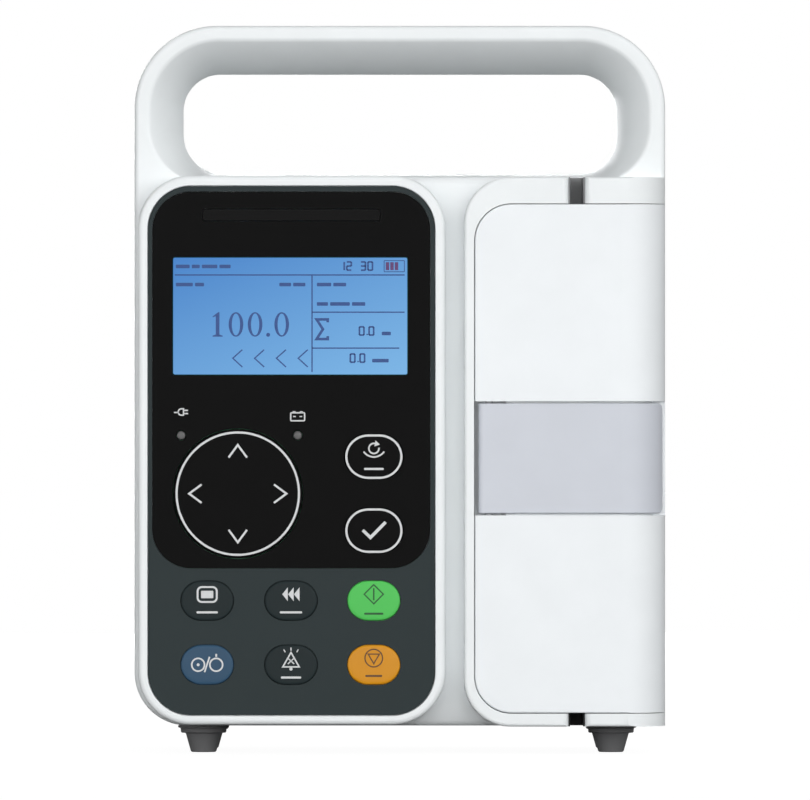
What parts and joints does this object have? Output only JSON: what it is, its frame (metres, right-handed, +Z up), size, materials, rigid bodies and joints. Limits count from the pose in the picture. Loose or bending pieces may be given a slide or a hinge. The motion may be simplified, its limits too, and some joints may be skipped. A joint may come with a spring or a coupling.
{
  "type": "infusion pump",
  "caption": "White infusion pump with a top handle, blue display and keypad, a lever-latched door over a peristaltic finger pump, rubber feet and a rear pole clamp.",
  "frame": {"origin": "under the middle of the pump's box, on the surface that its feet stand on", "axes": "+Z up, -Y towards the person who faces the display, +X to that person's right"},
  "size_m": [0.2, 0.15, 0.2742],
  "materials": {
    "shell": "white moulded ABS, smooth satin",
    "slate": "dark slate printed overlay, satin",
    "black": "black gloss window",
    "lcd": "blue backlit display",
    "smoke": "smoked translucent light bar",
    "lens": "grey indicator lens",
    "green": "green key cap, satin",
    "orange": "orange key cap, satin",
    "blue": "dark blue key cap, satin",
    "lever": "light grey moulded plastic, satin",
    "dark": "dark grey plastic",
    "rubber": "black rubber",
    "steel": "brushed",
    "board": "green circuit board",
    "battery": "blue shrink wrap",
    "motor": "black painted steel"
  },
  "bodies": {
    "root": {"main_frame": "shell", "rear_cover": "shell", "control_bezel": "shell", "pump_bezel": "shell", "battery_cover": "shell", "keypad_panel": "slate", "display_window": "black", "lcd_module": "lcd", "alarm_light": "smoke", "mains_led": "lens", "battery_led": "lens", "keypad_board": "board", "main_board": "board", "power_supply": "steel", "battery_pack": "battery", "ac_inlet": "dark", "foot_front_left": "rubber", "foot_front_right": "rubber", "foot_rear_left": "rubber", "foot_rear_right": "rubber", "mechanism_plate": "lever", "mechanism_frame": "steel", "upper_bearing": "steel", "lower_bearing": "steel", "stepper_motor": "motor", "timing_belt": "rubber", "air_detector": "dark", "pressure_sensor": "steel", "clamp_bracket": "steel", "hinge_pin": "steel"},
    "door": {"door_shell": "shell", "door_inner_plate": "lever", "lever_pin": "steel"},
    "lever": {"door_lever": "lever"},
    "platen": {"platen": "steel"},
    "pad_gimbal": {"dpad_gimbal": "dark"},
    "pad": {"dpad_rocker": "black"},
    "cam": {"camshaft": "steel", "cam_pulley": "steel"},
    "motor_rotor": {"motor_pulley": "steel"},
    "flow_clamp": {"free_flow_clamp": "blue"},
    "clamp_slide": {"clamp_pad": "rubber"},
    "clamp_screw": {"clamp_spindle": "steel", "clamp_knob": "dark"},
    "clear_key": {"clear_key": "black"},
    "ok_key": {"ok_key": "black"},
    "menu_key": {"menu_key": "slate"},
    "bolus_key": {"bolus_key": "slate"},
    "start_key": {"start_key": "green"},
    "power_key": {"power_key": "blue"},
    "mute_key": {"mute_key": "slate"},
    "stop_key": {"stop_key": "orange"},
    "finger_1": {"finger_1": "lever"},
    "finger_2": {"finger_2": "lever"},
    "finger_3": {"finger_3": "lever"},
    "finger_4": {"finger_4": "lever"},
    "finger_5": {"finger_5": "lever"},
    "finger_6": {"finger_6": "lever"},
    "finger_7": {"finger_7": "lever"},
    "finger_8": {"finger_8": "lever"}
  },
  "joints": [
    {"name": "door_swing", "type": "hinge", "parent": "root", "child": "door", "pos_m": [0.094, -0.057, 0.111], "axis": [0, 0, 1], "range_deg": [0, 100]},
    {"name": "lever_swing", "type": "hinge", "parent": "door", "child": "lever", "pos_m": [0.0335, -0.071, 0.11125], "axis": [0, 0, -1], "range_deg": [0, 70]},
    {"name": "platen_give", "type": "slide", "parent": "door", "child": "platen", "axis": [0, -1, 0], "range_m": [0, 0.0012], "stiffness_N_per_m": 5000, "springref_m": -0.001},
    {"name": "pad_tilt_up_down", "type": "hinge", "parent": "root", "child": "pad_gimbal", "pos_m": [-0.0609, -0.0705, 0.098], "axis": [1, 0, 0], "range_deg": [-2.5, 2.5], "stiffness_Nm_per_rad": 0.5},
    {"name": "pad_tilt_left_right", "type": "hinge", "parent": "pad_gimbal", "child": "pad", "pos_m": [-0.0609, -0.0705, 0.098], "axis": [0, 0, 1], "range_deg": [-2.5, 2.5], "stiffness_Nm_per_rad": 0.5},
    {"name": "cam_spin", "type": "hinge", "parent": "root", "child": "cam", "pos_m": [0.0665, -0.025, 0.115], "axis": [0, 0, 1], "continuous": true},
    {"name": "motor_spin", "type": "hinge", "parent": "root", "child": "motor_rotor", "pos_m": [0.0665, 0.009, 0.0675], "axis": [0, 0, 1], "continuous": true},
    {"name": "flow_clamp_slide", "type": "slide", "parent": "root", "child": "flow_clamp", "axis": [0, -1, 0], "range_m": [0, 0.003], "stiffness_N_per_m": 500},
    {"name": "clamp_travel", "type": "slide", "parent": "root", "child": "clamp_slide", "axis": [-1, 0, 0], "range_m": [0, 0.015]},
    {"name": "clamp_turn", "type": "hinge", "parent": "clamp_slide", "child": "clamp_screw", "pos_m": [0.06, 0.058, 0.1225], "axis": [-1, 0, 0], "range_deg": [0, 3600]},
    {"name": "clear_press", "type": "slide", "parent": "root", "child": "clear_key", "axis": [0, 1, 0], "range_m": [0, 0.0008], "stiffness_N_per_m": 1200, "springref_m": -0.0005},
    {"name": "ok_press", "type": "slide", "parent": "root", "child": "ok_key", "axis": [0, 1, 0], "range_m": [0, 0.0008], "stiffness_N_per_m": 1200, "springref_m": -0.0005},
    {"name": "menu_press", "type": "slide", "parent": "root", "child": "menu_key", "axis": [0, 1, 0], "range_m": [0, 0.0008], "stiffness_N_per_m": 1200, "springref_m": -0.0005},
    {"name": "bolus_press", "type": "slide", "parent": "root", "child": "bolus_key", "axis": [0, 1, 0], "range_m": [0, 0.0008], "stiffness_N_per_m": 1200, "springref_m": -0.0005},
    {"name": "start_press", "type": "slide", "parent": "root", "child": "start_key", "axis": [0, 1, 0], "range_m": [0, 0.0008], "stiffness_N_per_m": 1200, "springref_m": -0.0005},
    {"name": "power_press", "type": "slide", "parent": "root", "child": "power_key", "axis": [0, 1, 0], "range_m": [0, 0.0008], "stiffness_N_per_m": 1200, "springref_m": -0.0005},
    {"name": "mute_press", "type": "slide", "parent": "root", "child": "mute_key", "axis": [0, 1, 0], "range_m": [0, 0.0008], "stiffness_N_per_m": 1200, "springref_m": -0.0005},
    {"name": "stop_press", "type": "slide", "parent": "root", "child": "stop_key", "axis": [0, 1, 0], "range_m": [0, 0.0008], "stiffness_N_per_m": 1200, "springref_m": -0.0005},
    {"name": "finger_1_stroke", "type": "slide", "parent": "root", "child": "finger_1", "axis": [0, -1, 0], "range_m": [0, 0.002]},
    {"name": "finger_2_stroke", "type": "slide", "parent": "root", "child": "finger_2", "axis": [0, -1, 0], "range_m": [0, 0.002]},
    {"name": "finger_3_stroke", "type": "slide", "parent": "root", "child": "finger_3", "axis": [0, -1, 0], "range_m": [0, 0.002]},
    {"name": "finger_4_stroke", "type": "slide", "parent": "root", "child": "finger_4", "axis": [0, -1, 0], "range_m": [0, 0.002]},
    {"name": "finger_5_stroke", "type": "slide", "parent": "root", "child": "finger_5", "axis": [0, -1, 0], "range_m": [0, 0.002]},
    {"name": "finger_6_stroke", "type": "slide", "parent": "root", "child": "finger_6", "axis": [0, -1, 0], "range_m": [0, 0.002]},
    {"name": "finger_7_stroke", "type": "slide", "parent": "root", "child": "finger_7", "axis": [0, -1, 0], "range_m": [0, 0.002]},
    {"name": "finger_8_stroke", "type": "slide", "parent": "root", "child": "finger_8", "axis": [0, -1, 0], "range_m": [0, 0.002]}
  ],
  "couplings": [
    {"joint": "motor_spin", "follows": "cam_spin", "ratio": 2},
    {"joint": "clamp_turn", "follows": "clamp_travel", "rad_per_m": 4188.8}
  ]
}
